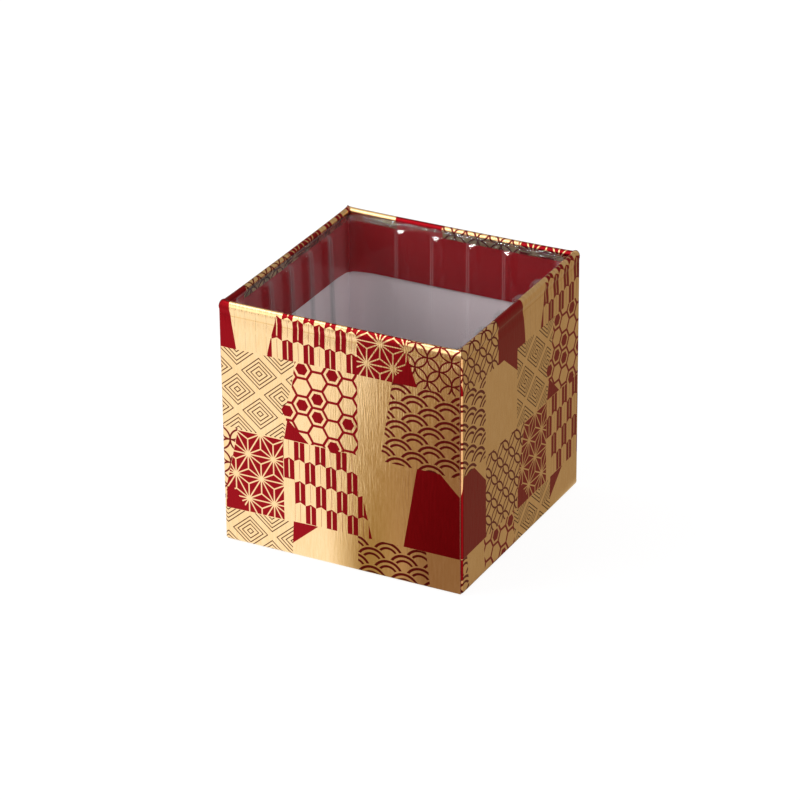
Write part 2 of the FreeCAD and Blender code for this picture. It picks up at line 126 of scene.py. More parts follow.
def section(up, edge_level, tab):
    """Return a place's distance in from the outside, its level, and its share of the full width.

    The share falls to 0 towards the middle of the underside and of the inner floor, and is 1 between.
    """
    bend = (up - UP_FOLD) / BASE_FOLD
    rise = (up - UP_ROLL) / (UP_TOP - UP_ROLL) * math.pi / 2
    roll = math.pi / 2 + (up - UP_TOP) / ROLL_RADIUS
    tuck = TUCK_TURN - (up - UP_TUCK) / TUCK_RADIUS
    flap = (up - UP_FLAP) / (UP_EDGE - UP_FLAP)
    inner = (up - UP_INNER) / (UP_FLOOR - UP_INNER)
    inner_face = CARD + tab * CARD
    cut = np.clip((up - UP_EDGE) / CARD, 0, 1)
    zones = [up < UP_FOLD, up < BASE_FOLD, up < UP_ROLL, up < UP_TOP, up < UP_TUCK, up < UP_FLAP,
             up < UP_EDGE, up < UP_INNER, up < UP_FLOOR]
    inset = np.select(zones, [
        BASE_FOLD, BASE_FOLD * (1 - np.sin(bend)), 0, ROLL_RADIUS * (1 - np.cos(rise)),
        ROLL_RADIUS * (1 - np.cos(roll)), FLAP_FACE + TUCK_RADIUS * (1 - np.cos(tuck)), FLAP_FACE,
        FLAP_FACE + (inner_face - FLAP_FACE) * cut, inner_face], CARD)
    level = np.select(zones, [
        0, BASE_FOLD * (1 - np.cos(bend)), up, UP_ROLL + ROLL_RISE * np.sin(rise),
        HEIGHT - ROLL_RADIUS + ROLL_RADIUS * np.sin(roll), TUCK_LEVEL + TUCK_RADIUS * np.sin(tuck),
        TUCK_LEVEL + (edge_level - TUCK_LEVEL) * flap, edge_level,
        edge_level + (BASE_TOP - edge_level) * inner], BASE_TOP)
    shrink = np.select([up < UP_FOLD, up > UP_FLOOR], [
        (up - UP_CENTRE) / (UP_FOLD - UP_CENTRE), (UP_MIDDLE - up) / (UP_MIDDLE - UP_FLOOR)], 1)
    return inset, level, np.clip(shrink, 0, 1)


def corner_radius(up):
    """Return the radius of the upright corners: soft on the walls, sharp at the rim and the base."""
    wall = ramp(up, -0.4, BASE_FOLD + 0.4) * (1 - ramp(up, UP_ROLL - 0.5, UP_ROLL + 0.3))
    inside = ramp(up, UP_TUCK, UP_FLAP)
    return RIM_CORNER + (WALL_CORNER - RIM_CORNER) * wall + (INNER_CORNER - RIM_CORNER) * inside


def unevenness(along, centred, level):
    """How far a wall leans in: a shallow bow, ripples and the neck, all fading out at the corners."""
    middle = 1 - (centred / HALF) ** 2
    rise = np.sin(np.pi * np.clip(level / HEIGHT, 0, 1) ** 0.8)
    ripple = np.sin(along * 0.31 + 0.6) * np.sin(level * 0.19 + along * 0.045) + np.sin(level * 0.42)
    bow = middle * (BOW * (0.35 + 0.65 * rise) + RIPPLE * (1 + ripple)) * ramp(level, 0.5, 6)
    neck = NECK * ramp(level, HEIGHT - 6, HEIGHT - 3) * (1 - ramp(level, HEIGHT - 3, UP_ROLL))
    return bow + neck * np.minimum(1, 6 * middle)


def wall_place(along, up):
    """Return points of the plain sheet, with four equal corners, before the seam's step."""
    wall = np.floor(along / SIDE).astype(int) % 4
    centred = np.mod(along, SIDE) - HALF
    far = np.abs(centred)
    dip_radius = (FLAP_DIP_RUN ** 2 + FLAP_DIP ** 2) / (2 * FLAP_DIP)
    dip_run = np.clip(far - (HALF - FLAP_DIP_RUN), 0, FLAP_DIP_RUN)
    edge_level = FLAP_LEVEL - dip_radius + np.sqrt(dip_radius ** 2 - dip_run ** 2)
    tab_start = HALF - CARD - TAB_WIDTH
    tab = np.where(wall == 3, np.clip((centred - tab_start) / TAB_STEP, 0, 1), 0)
    inset, level, shrink = section(up, edge_level, tab)
    inset = inset + unevenness(along, centred, level) * (up > UP_FOLD) * (up < UP_FLOOR)

    groove = np.clip(1 - np.abs(up - UP_SEAM) / (SEAM_WIDTH / 2), 0, 1) * (wall < 3)
    level = level + SEAM_DEPTH * groove * ramp(HALF - far, 0, 0.6)
    drop = RIM_SAG * (1 - (centred / HALF) ** 4) + RIM_NUB * (1 - (centred / HALF) ** 40)
    level = level - drop * ramp(level, HEIGHT - 9, HEIGHT)

    radius = corner_radius(up)
    width = HALF - inset
    end = np.clip((far - STRAIGHT) / (HALF - STRAIGHT), 0, 1)
    run = np.clip(end / ARC_SHARE, 0, 1)
    turn = np.clip((end - ARC_SHARE) / (1 - ARC_SHARE), 0, 1) * np.pi / 4
    side = np.where(end > 0, STRAIGHT + run * (width - radius - STRAIGHT) + radius * np.sin(turn), far)
    out = width - radius * (1 - np.cos(turn))
    side = np.sign(centred) * side * shrink
    out = out * shrink
    flat = ALONG[wall] * side[:, None] + OUT[wall] * out[:, None]
    return np.column_stack((flat, level))


def seam_place(along, up):
    """Return places near the front right corner, where the tab's fold lies one card deeper."""
    bent, _, _ = section(up, FLAP_LEVEL, np.zeros_like(up))
    inset = np.where(up < BASE_FOLD, bent, 0)
    arc_end = (1 - ARC_SHARE) * (HALF - STRAIGHT)
    angle = np.interp(along, [-TAB_FOLD, 0, arc_end], [0, np.pi / 4, np.pi / 2])
    strip = np.clip((along + TAB_SHOW) / (TAB_SHOW - TAB_FOLD), 0, 1)
    run = np.clip((along - arc_end) / (HALF - STRAIGHT - arc_end), 0, 1)
    bend_x = HALF - inset - WALL_CORNER
    bend_y = bend_x - CARD
    x = np.where(along < -TAB_FOLD, HALF - TAB_SHOW + strip * (bend_x - HALF + TAB_SHOW),
                 bend_x + WALL_CORNER * np.sin(angle))
    y = -(bend_y + WALL_CORNER * np.cos(angle))
    y = np.where(along > arc_end, -(bend_y + run * (STRAIGHT - bend_y)), y)
    return np.column_stack((x, y))


def sheet_place(along, up):
    """Return points of the sheet as folded, in millimetres."""
    along, up = np.asarray(along, float), np.asarray(up, float)
    cut = np.clip((along - CUT_START) / CARD, 0, 1)
    on_cut = along > CUT_START
    plain = wall_place(np.where(on_cut, CUT_START, along), up)
    depth = ramp(up, UP_FOLD, UP_FOLD + 0.8) * (1 - ramp(up, UP_ROLL - 0.35, UP_ROLL - 0.05))
    near = np.where(on_cut, -TAB_SHOW, np.clip(along, -TAB_SHOW, HALF - STRAIGHT))
    seam = np.column_stack((seam_place(near, up), plain[:, 2]))
    fold = (along < HALF - STRAIGHT) | on_cut
    folded = plain + (seam - plain) * (depth * fold)[:, None]
    return np.where(on_cut[:, None], plain + (folded - plain) * cut[:, None], folded)


# ---- print -------------------------------------------------------------------------------------

REPEAT = 82.5               # width of the pattern, which runs on round the whole sheet
PRINT_SHIFT = 52.2          # where in the repeat the front right corner lies
PRINT_LIFT = 0.3            # how far the pattern lies above the levels listed below

PATCH_TOP = 71.0            # top of the highest patches, past the end of the print

# The repeat's patches from bottom to top of the stack: motif, its origin and the outline.
# Across and up in millimetres; what no patch covers is plain gold.
PATCHES = (
    ("red", (0, 0), ((71.9, PATCH_TOP), (71.8, 52.6), (75.0, 52.6), (82.4, 46.8), (82.5, 52.5),
                     (86.8, 52.3), (85.0, 64.0), (84.6, PATCH_TOP))),
    ("quills", (19.83, 58.05), ((4.3, 52.6), (12.6, 52.4), (17.2, PATCH_TOP), (2.1, PATCH_TOP),
                                (2.5, 64.0))),
    ("arrows", (19.83, 58.05), ((12.6, 52.4), (37.0, 52.5), (37.0, PATCH_TOP), (17.2, PATCH_TOP))),
    ("stars", (43.17, 62.33), ((37.0, 52.7), (50.6, 52.7), (50.6, PATCH_TOP), (37.0, PATCH_TOP))),
    ("rings", (52.5, 61.35), ((50.6, 52.8), (71.9, 52.8), (71.9, PATCH_TOP), (50.6, PATCH_TOP))),
    ("red", (0, 0), ((50.6, 60.2), (53.0, 52.7), (46.5, 52.6), (46.8, 54.2), (49.6, 56.8))),
    ("diamonds", (4.27, 41.85), ((-0.1, 52.4), (20.2, 52.4), (16.8, 31.0), (-0.1, 31.0))),
    ("hexagons", (22.0, 46.1), ((20.2, 52.6), (37.0, 52.6), (37.0, 31.2), (16.8, 31.2),
                                (17.4, 36.5), (17.6, 40.5), (19.3, 46.0))),
    ("red", (0, 0), ((17.8, 36.7), (23.6, 31.2), (16.8, 31.2))),
    ("waves", (56.67, 43.6), ((46.4, 52.7), (65.1, 52.8), (65.1, 31.2), (42.9, 31.2))),
    ("rings", (74.7, 27.75), ((65.4, 31.2), (86.5, 31.2), (82.9, 14.5), (82.5, 9.4), (65.4, 9.4))),
    ("stars", (6.67, 24.83), ((4.0, 30.7), (16.4, 30.7), (16.4, 9.1), (0.3, 9.0), (0.4, 14.5))),
    ("red", (0, 0), ((0.6, 14.6), (2.3, 14.9), (3.6, 13.0), (6.6, 9.0), (0.4, 8.9))),
    ("arrows", (19.45, 26.5), ((16.4, 31.1), (36.7, 31.1), (36.7, 26.0), (40.5, 9.4), (19.4, 9.4),
                               (19.4, 20.7), (16.4, 20.7))),
    ("red", (0, 0), ((52.8, 31.3), (59.0, 31.3), (65.4, 25.0), (65.4, 9.6), (49.0, 9.5))),
    ("diamonds", (6.73, 3.67), ((-1.5, 8.9), (18.9, 8.9), (18.4, -1.7), (-1.5, -1.7))),
    ("red", (0, 0), ((18.9, 9.2), (25.7, 9.3), (18.6, 3.2))),
    ("waves", (40.33, 2.76), ((36.6, 9.4), (55.1, 9.5), (56.4, -1.7), (36.6, -1.7))),
    ("hexagons", (70.67, 2.8), ((64.2, 9.5), (81.0, 9.5), (81.0, -1.7), (64.8, -1.7))),
)
# Cells of the hexagon pattern with a red middle
EYES = ((22.0, 50.88), (22.0, 41.32), (26.14, 43.71), (26.14, 38.93), (30.28, 50.88), (30.28, 31.76),
        (34.42, 38.93), (17.86, 38.93), (70.7, 7.6), (78.9, 7.6), (74.8, 0.4))
EYE_SIZE = 1.45             # middle to side of an eye
MITRE_SHADE_HALF = 0.42           # half width of the painted shade line where the rim's corners are folded
TAB_MARK = (4.2, 9.5)       # ends of the red mark low on the tab's fold


def clip(outline, axis, limit, keep_above):
    """Cut a polygon with a line across one axis and keep the part on one side."""
    sign = 1 if keep_above else -1
    kept = []
    for here, there in zip(outline, outline[1:] + outline[:1]):
        inside, next_inside = sign * (here[axis] - limit) >= 0, sign * (there[axis] - limit) >= 0
        if inside:
            kept.append(here)
        if inside != next_inside:
            share = (limit - here[axis]) / (there[axis] - here[axis])
            kept.append(tuple(start + share * (end - start) for start, end in zip(here, there)))
    return kept


def eye_outline(middle):
    """Outline a small flat-topped hexagon."""
    corner = EYE_SIZE / math.cos(math.radians(30))
    turns = [math.radians(60 * step) for step in range(6)]
    return tuple((middle[0] + corner * math.cos(turn), middle[1] + corner * math.sin(turn))
                 for turn in turns)


def sheet_patches():
    """List every coloured field of the sheet in painting order: slot, origin and outline.

    Red fields turn into the flap's duller red inside the rim.
    """
    left, right = -TAB_SHOW, CUT_START
    fields = []

    def add_field(slot, origin, outline):
        outline = clip(clip(list(outline), 0, left, True), 0, right, False)
        if len(outline) > 2:
            fields.append((slot, origin, outline))

    def add_band(slot, low, high, start=left, end=right):
        add_field(slot, (0, 0), ((start, low), (end, low), (end, high), (start, high)))

    add_band("gold", UP_CENTRE, PRINT_TOP)
    eyes = tuple(("red", (0, 0), eye_outline(middle)) for middle in EYES)
    for motif, origin, outline in PATCHES + eyes:
        for turn in range(4):
            shift = REPEAT * turn - PRINT_SHIFT
            moved = [(across + shift, up + PRINT_LIFT) for across, up in outline]
            add_field(motif, (origin[0] + shift, origin[1] + PRINT_LIFT), moved)
            if motif == "red":
                add_field("flap", (0, 0), clip(moved, 1, UP_INSIDE, True))
    add_band("flap", PRINT_TOP, UP_EDGE)
    add_band("edge", UP_EDGE, UP_INNER)
    add_band("card", UP_INNER, UP_MIDDLE)
    add_band("red", *TAB_MARK, end=0.3)
    add_band("edge", UP_SEAM - SEAM_WIDTH / 4, UP_SEAM + SEAM_WIDTH / 4, start=0, end=3 * SIDE)
    # painted shade along the rim's mitred corner folds
    for corner in range(1, 4):
        middle = corner * SIDE
        add_band("crease_shade", UP_ROLL + 0.3, UP_FLAP - 0.3, middle - MITRE_SHADE_HALF, middle + MITRE_SHADE_HALF)
    return fields


def inside_outline(points, outline):
    """Test which points lie inside a polygon."""
    x, y = points[:, 0], points[:, 1]
    inside = np.zeros(len(points), bool)
    for (x1, y1), (x2, y2) in zip(outline, outline[1:] + outline[:1]):
        if y1 != y2:
            crossing = (y1 > y) != (y2 > y)
            inside ^= crossing & (x < (x2 - x1) * (y - y1) / (y2 - y1) + x1)
    return inside


def spread(low, high, count):
    """List even steps along a stretch, without its first end."""
    return list(np.linspace(low, high, count + 1)[1:])


def sheet_lines(fields):
    """Choose the mesh's lines across and up the sheet, closer where it bends."""
    arc_start = STRAIGHT + ARC_SHARE * (HALF - STRAIGHT)
    ends = [5, 10, 15, 20, 25, 29, STRAIGHT, 31.2] + [arc_start] + spread(arc_start, HALF, 5)
    wall = [0.0, *ends, *(-end for end in ends)]
    across = {round(HALF + SIDE * number + place, 6) for number in range(4) for place in wall}
    across = {place for place in across if place < CUT_START}
    tab_start = ROUND - CARD - TAB_WIDTH
    across |= {-TAB_SHOW, *(-TAB_FOLD * step / 4 for step in range(1, 5)), CUT_START,
               CUT_START + CARD, tab_start, tab_start + TAB_STEP}
    up = {UP_CENTRE, -24.0, -16.0, -8.0, -3.0, UP_SEAM - SEAM_WIDTH / 2, UP_SEAM,
          UP_SEAM + SEAM_WIDTH / 2, UP_FOLD, 2.0, 3.5, 57.0, UP_ROLL - 0.35, UP_ROLL - 0.2,
          UP_ROLL - 0.05, PRINT_TOP, UP_INNER}
    stretches = (
        (UP_FOLD, BASE_FOLD, 6), (0, 55, 11), (57, UP_ROLL, 12), (UP_ROLL, UP_TOP, 7),
        (UP_TOP, UP_TUCK, 7), (UP_TUCK, UP_FLAP, 4), (UP_FLAP, UP_EDGE, 4), (UP_INNER, UP_FLOOR, 8),
        (UP_FLOOR, UP_MIDDLE, 4))
    up |= {level for stretch in stretches for level in spread(*stretch)}
    seam = {place[1] for _, _, outline in fields for place in outline if place[0] <= -TAB_SHOW}
    return sorted(across), sorted({round(level, 6) for level in up | seam})


def cut_sheet(fields):
    """Divide the sheet into triangles along its lines and the fields' outlines."""
    across, up = sheet_lines(fields)
    points = [Vector((x, y)) for y in up for x in across]
    wide = len(across)
    edges = [(place, place + 1) for place in range(len(points)) if (place + 1) % wide]
    edges += [(place, place + wide) for place in range(len(points) - wide)]
    for _, _, outline in fields:
        first = len(points)
        points += [Vector(place) for place in outline]
        edges += [(first + step, first + (step + 1) % len(outline)) for step in range(len(outline))]
    result = delaunay_2d_cdt(points, edges, [], 0, 1e-4)
    flat = np.array([tuple(place) for place in result[0]])
    corners = np.array([face for face in result[2] if len(face) == 3])
    return flat, corners


def bake_place(places, middles, level):
    """Lay the printed walls out large and the rest small on one square map, for baking.

    The four walls stand two by two at the left. The inside's four strips, the inner floor and the
    underside stand in a column at the right.
    """
    along, up = places[:, :, 0], places[:, :, 1]
    number = np.floor(middles[:, :1] / SIDE)
    wall, across = number.astype(int) % 4, along - number * SIDE
    large, small = 160.0, 450.0
    u, v = wall % 2 * 0.42 + across / large, wall // 2 * 0.45 + (up + 2) / large
    u = np.where(middles[:, :1] > CUT_START, 0.835 + (along - CUT_START) / large, u)
    inner_u, inner_v = 0.845 + across / small, wall * 0.14 + (up - PRINT_TOP) / small
    flat_u, flat_v = 0.845 + (level[:, :, 0] + HALF) / small, 0.58 + (level[:, :, 1] + HALF) / small
    height = middles[:, 1:]
    inside, under, floor = height > PRINT_TOP, height < UP_FOLD, height > UP_FLOOR
    u = np.where(floor | under, flat_u, np.where(inside, inner_u, u))
    v = np.where(floor, flat_v, np.where(under, flat_v + 0.16, np.where(inside, inner_v, v)))
    return np.stack((u, v), axis=2)


def sheet_normals(places, middles):
    """Work out each face corner's normal, and its length, from the sheet's form beside the corner."""
    step = 4e-4
    inward = (places + 0.02 * (middles[:, None, :] - places)).reshape(-1, 2)
    across, up = inward[:, 0], inward[:, 1]
    along_run = sheet_place(across + step, up) - sheet_place(across - step, up)
    up_run = sheet_place(across, up + step) - sheet_place(across, up - step)
    normals = np.cross(along_run, up_run)
    return normals, np.linalg.norm(normals, axis=1)


def new_object(name, vertices, faces):
    mesh = bpy.data.meshes.new(name)
    mesh.from_pydata([tuple(place) for place in vertices], [], [tuple(face) for face in faces])
    mesh.polygons.foreach_set("use_smooth", [True] * len(mesh.polygons))
    obj = bpy.data.objects.new(name, mesh)
    bpy.context.scene.collection.objects.link(obj)
    return obj


def make_tray(materials):
    """Fold the printed sheet into the tray's shape, one colour slot for each field."""
    fields = sheet_patches()
    flat, corners = cut_sheet(fields)
    solid = sheet_place(flat[:, 0], flat[:, 1])
    _, first, same = np.unique(np.round(solid, 4), axis=0, return_index=True, return_inverse=True)
    same = same.reshape(-1)
    welded = same[corners]
    whole = (welded != np.roll(welded, 1, axis=1)).all(axis=1)
    corners, welded = corners[whole], welded[whole]

    places = flat[corners]
    middles = places.mean(axis=1)
    slots = list(materials)
    slot_of, origin = np.zeros(len(corners), int), np.zeros((len(corners), 2))
    for slot, start, outline in fields:
        inside = inside_outline(middles, outline)
        slot_of[inside] = slots.index(slot)
        origin[inside] = start
    slot_of[middles[:, 0] > CUT_START] = slots.index("edge")

    obj = new_object("printed_card_tray", solid[first] * MM, welded)
    mesh = obj.data
    for material in materials.values():
        mesh.materials.append(material)
    mesh.polygons.foreach_set("material_index", slot_of)
    level = solid[corners][:, :, :2]
    bake = bake_place(places, middles, level)
    lies_flat = (middles[:, 1] < UP_FOLD) | (middles[:, 1] > UP_FLOOR)
    grained = np.where(lies_flat[:, None, None], level, places)
    for name, values in (("OFBake", bake), ("motif", places - origin[:, None, :]), ("sheet", grained)):
        layer = mesh.uv_layers.new(name=name)
        layer.data.foreach_set("uv", values.astype(np.float32).ravel())
    normals, lengths = sheet_normals(places, middles)
    face_normals = np.zeros(len(corners) * 3)
    mesh.polygons.foreach_get("normal", face_normals)
    spare = np.repeat(face_normals.reshape(-1, 3), 3, axis=0)
    fine = lengths > 1e-9       # a few corners at the sheet's ends have no normal of their own
    normals[fine] /= lengths[fine][:, None]
    normals[~fine] = spare[~fine]
    mesh.normals_split_custom_set([tuple(normal) for normal in normals])
    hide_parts("card_tray")
    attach(obj, "root")
    return obj


# ---- clear liner -------------------------------------------------------------------------------

LIP_HALF = LINER_HIGH.x / MM        # middle of the liner to the outside of its lip
LIP_TOP = LINER_HIGH.z / MM
FLOOR_GAP = 0.08            # clearance that keeps the film's floor apart from the card under it
LINER_FLOOR = LINER_LOW.z / MM + FLOOR_GAP
FILM = 0.35                 # thickness of the liner
LIP_DEPTH = 0.6             # height of the liner's upright lip
SHOULDER_INSET = 0.8        # width of the liner's sloping shoulder
SHOULDER_DEPTH = 0.5        # height of the liner's sloping shoulder
LINER_DRAFT = math.radians(1.5)
LINER_CORNER = 4.5          # radius of the liner's upright corners at the lip
LINER_FOOT = 1.5            # width and height of the bevel round the liner's floor
RIB_RADIUS = 1.55           # outside radius of the half-round ribs
RIB_PITCH = 10.0
RIB_COUNT = 4
RIB_SLOPE = 0.90            # height over which a rib's top is cut back flat
RIB_TOP = 0.70              # share of its depth that a rib still has at the wall's top
RIB_EDGE = 0.25             # softness of that cut's edge
RIB_BLEND = 0.2             # how softly a rib runs out into its wall
RIB_REACH = 4.1             # half the width of wall that one rib has to itself
RIB_COLUMNS = (0.35, 0.7, 0.95, 1.15, 1.3, 1.42, 1.52, 1.62, 1.72, 1.85, 2.02, 2.25, 2.6, 3.2,
               RIB_REACH)   # the mesh's upright lines beside a rib's middle, closer on its sides
BESIDE_RIBS = (21.0, 23.5)  # the mesh's upright lines between the last rib and the corner
WALL_END = 24.5             # where a wall is shorter than this, its lines move together
WALL_LEVELS = [8, 16, 24, 32, 40, 46, 51, 55, 57.5]     # the mesh's level lines on the walls
LIP_FACE = LIP_HALF - 0.01  # the lip's outer face stays just inside the liner's box
LIP_BEND = LIP_TOP - 0.2    # level where the lip's top starts to round over
LIP_ROUND = 0.19            # height of that rounding
LIP_BOTTOM = LIP_TOP - LIP_DEPTH
WALL_TOP = LIP_BOTTOM - SHOULDER_DEPTH
LINER_WAVE = 0.05           # unevenness of the liner's walls


def liner_profile():
    """List the film's outer face from the floor's middle to the lip: half width, level, rib share."""
    wall_half = LIP_HALF - SHOULDER_INSET
    wall_low = LINER_FLOOR + LINER_FOOT
    low_half = wall_half - (WALL_TOP - wall_low) * math.tan(LINER_DRAFT)
    foot_half = low_half - LINER_FOOT
    rows = [(foot_half * share, LINER_FLOOR, 0.0) for share in (0.02, 0.35, 0.7, 0.93)]
    for step in range(7):
        turn = math.radians(90 * step / 6)
        rows.append((foot_half + LINER_FOOT * math.sin(turn),
                     LINER_FLOOR + LINER_FOOT * (1 - math.cos(turn)), math.sin(turn)))
    cut_levels = [WALL_TOP - RIB_SLOPE + RIB_SLOPE * step / 12 for step in range(-2, 13)]
    for level in WALL_LEVELS + cut_levels:
        rows.append((low_half + (level - wall_low) * math.tan(LINER_DRAFT), level, 1.0))
    shoulder_half = wall_half + 0.03
    for step in range(7):
        share = step / 6
        rows.append((shoulder_half + (LIP_FACE - shoulder_half) * float(ramp(share, 0, 1)),
                     WALL_TOP + SHOULDER_DEPTH * share, 1.0 - share))
    lip_levels = (LIP_BOTTOM + 0.02, LIP_BOTTOM + 0.08, LIP_BEND - 0.06, LIP_BEND)
    return rows + [(LIP_FACE, level, 0.0) for level in lip_levels]


def liner_row(half, level, ribs, corner, grow):
    """Return one closed ring of points round the liner at a level.

    ribs is the share of their depth that the ribs have there, and grow makes them larger.
    """
    ring = []
    radius = max(0.02, min(corner, half * 0.9))
    flat = half - radius
    offsets = [-offset for offset in reversed(RIB_COLUMNS)] + [0.0, *RIB_COLUMNS]
    first = -(RIB_COUNT - 1) / 2 * RIB_PITCH
    columns = [first + RIB_PITCH * rib + offset for rib in range(RIB_COUNT) for offset in offsets]
    size = RIB_RADIUS + grow
    top = size * (RIB_TOP + (1.05 - RIB_TOP) * max(0.0, WALL_TOP - level) / RIB_SLOPE)
    columns = [-place for place in reversed(BESIDE_RIBS)] + columns + list(BESIDE_RIBS)
    squeeze = min(1.0, flat / WALL_END)
    for wall, (along, out) in enumerate(WALLS):
        for column in columns:
            nearest = min(max(round((column - first) / RIB_PITCH), 0), RIB_COUNT - 1)
            off = column - (first + RIB_PITCH * nearest)
            reach = size ** 2 - off ** 2
            bulge = math.sqrt((reach + math.hypot(reach, RIB_BLEND)) / 2)
            bulge = (bulge + top - math.hypot(bulge - top, RIB_EDGE)) / 2
            fade = max(0.0, 1 - abs(off) / RIB_REACH)
            bulge = ribs * max(0.0, bulge) * min(1.0, 3 * fade)
            wave = LINER_WAVE * math.sin(0.23 * column + 1.7 * wall) * math.sin(0.11 * level + wall)
            wave = (wave - LINER_WAVE) * ribs
            place = along * (column * squeeze) + out * (half - bulge + wave)
            ring.append((place.x, place.y, level))
        for step in range(1, 8):
            turn = math.radians(90 * step / 8)
            place = along * (flat + radius * math.sin(turn)) + out * (flat + radius * math.cos(turn))
            ring.append((place.x, place.y, level))
    return ring


def make_liner(material):
    """Build the liner's film as one closed mesh: outer face up, over the lip and down the inner face."""
    profile = liner_profile()
    rings = [liner_row(half, level, ribs, LINER_CORNER, 0.0) for half, level, ribs in profile]
    edge = FILM / 2
    for step in range(1, 4):
        turn = math.radians(45 * step)
        rings.append(liner_row(LIP_FACE - edge + edge * math.cos(turn),
                               LIP_BEND + LIP_ROUND * math.sin(turn), 0.0, LINER_CORNER, 0.0))
    for half, level, ribs in reversed(profile):
        lift = FILM if level < LINER_FLOOR + LINER_FOOT * 0.99 else 0.0
        rings.append(liner_row(half - FILM if half > FILM * 2 else half, level + lift * (1 - ribs),
                               ribs, LINER_CORNER - FILM, FILM))
    wide = len(rings[0])
    vertices = [place for ring in rings for place in ring]
    last = len(vertices) - wide
    faces = []
    for first in range(0, last, wide):
        for column in range(wide):
            after = (column + 1) % wide
            faces.append((first + column, first + after, first + wide + after, first + wide + column))
    faces += [tuple(reversed(range(wide))), tuple(range(last, len(vertices)))]
    obj = new_object("clear_cup_liner", np.array(vertices) * MM, faces)
    obj.data.materials.append(material)
    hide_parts("clear_liner")
    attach(obj, "root")
    return obj


# ---- materials ---------------------------------------------------------------------------------

GOLD = (0.97, 0.70, 0.40, 1)
RED = (0.31, 0.004, 0.009, 1)
FLAP_RED = (0.46, 0.003, 0.010, 1)
LINE_INK = (0.19, 0.010, 0.010, 1)
DARK_INK = (0.10, 0.030, 0.012, 1)
PRINT_SOFT = 0.08           # width over which the ink's edge fades
GOLD_SHADES = (0.84, 0.76, 0.60)    # shares of red, green and blue left in the gold's dark grain
INK_SHADES = (0.86, 1, 1)           # the same in the ink's dark grain
GRAIN_ROUGHNESS = 0.10      # what the grain adds to the roughness
GOLD_ROUGHNESS = 0.13
INK_ROUGHNESS = 0.28
GRAIN_DEPTH = 0.02
INK_RELIEF = 0.05           # height of the ink as a share of the grain's
INK_METAL = 0.96            # share of the foil's metal look that comes through the ink
FLAP_METAL = 0.35           # the same on the rim's flap
FEATHER_WIDTH = 2.875
FEATHER_HEIGHT = 5.83
SPINE_SHARE = 0.42          # share of a feather's height, from its middle, that its spine runs
RIM_SHADE_LEVEL = HEIGHT - 3.5   # level of the painted shade line just under the rolled rim
RIM_SHADE_HALF = 0.16      # half width of that line


class Field:
    """A number in a node tree; arithmetic on it adds Math nodes."""

    def __init__(self, tree, socket):
        self.tree, self.socket = tree, socket

    def math(self, operation, *others, clamp=False):
        """Add a Math node whose first value is this number."""
        node = self.tree.nodes.new("ShaderNodeMath")
        node.operation = operation
        node.use_clamp = clamp
        for entry, value in zip(node.inputs, (self, *others)):
            if isinstance(value, Field):
                self.tree.links.new(value.socket, entry)
            else:
                entry.default_value = value
        return Field(self.tree, node.outputs[0])

    def __add__(self, other):
        return self.math("ADD", other)

    def __sub__(self, other):
        return self.math("SUBTRACT", other)

    def __rsub__(self, number):
        return self.math("MULTIPLY_ADD", -1.0, number)

    def __mul__(self, other):
        return self.math("MULTIPLY", other)

    def __truediv__(self, other):
        return self.math("DIVIDE", other)

    def size(self):
        return self.math("ABSOLUTE")

    def floor(self):
        return self.math("FLOOR")

    def least(self, other):
        return self.math("MINIMUM", other)

    def most(self, other):
        return self.math("MAXIMUM", other)

    def below(self, other):
        return self.math("LESS_THAN", other)

    def wrap(self, pitch):
        """Measure from the middle of the nearest repeat."""
        return self.math("WRAP", pitch / 2, -pitch / 2)

    def share(self, slope, start=0.0):
        """Scale and shift, and hold the result between 0 and 1."""
        return self.math("MULTIPLY_ADD", slope, start, clamp=True)

    def cover(self, half_width):
        """Turn a distance into ink: 1 within the half width, with a slightly soft edge."""
        return self.share(-1 / PRINT_SOFT, 0.5 + half_width / PRINT_SOFT)


def distance(across, up):
    return (across * across + up * up).math("SQRT")


def feather_middle(across):
    """Measure across from the middle of the feather."""
    return across - (across / FEATHER_WIDTH).floor() * FEATHER_WIDTH - FEATHER_WIDTH / 2


def arrows_ink(across, up):
    """Arrow feathers: upright columns of red and gold, each with a peaked top and a spine."""
    middle = feather_middle(across)
    rise = up / FEATHER_HEIGHT + middle.size() * (0.5 / FEATHER_HEIGHT)
    parity = (across / FEATHER_WIDTH).floor() + rise.floor()
    parity = parity - (parity / 2).floor() * 2
    red = parity.below(0.5)
    within = (rise - rise.floor() - 0.5).size().cover(SPINE_SHARE)
    spine = middle.size().cover(0.15) * within
    thin = middle.size().cover(0.06) * within * 0.8
    return red * (1 - spine) + (1 - red) * thin


def quills_ink(across, up):
    """The same feathers all in gold, with faint spines only."""
    rise = up / FEATHER_HEIGHT
    within = (rise - rise.floor() - 0.5).size().cover(SPINE_SHARE)
    return feather_middle(across).size().cover(0.05) * within * 0.35


def rings_ink(across, up):
    """Overlapping rings."""
    pitch, rise, radius, half_line = 6.4, 6.35, 3.2, 0.24
    even = (distance(across.wrap(pitch), up.wrap(rise)) - radius).size()
    odd = (distance((across + pitch / 2).wrap(pitch), (up + rise / 2).wrap(rise)) - radius).size()
    return even.least(odd).cover(half_line)


def waves_ink(across, up):
    """Rows of overlapping scales, each with two arcs, the lower rows in front."""
    step, rise, edge = 4.42, 2.475, 4.83    # half a scale's width, a row's height, a scale's radius
    row = (up / rise).floor()
    ink = None
    for offset in (1, 0, -1):
        here = row + offset
        shift = (here - (here / 2).floor() * 2) * step
        reach = distance((across - shift).wrap(2 * step), up - here * rise)
        arcs = (reach - 4.07).size().cover(0.35).most((reach - 2.74).size().cover(0.32))
        if ink is None:
            ink = arcs
        else:
            front = reach.below(edge)
            ink = arcs * front + ink * (1 - front)
    return ink


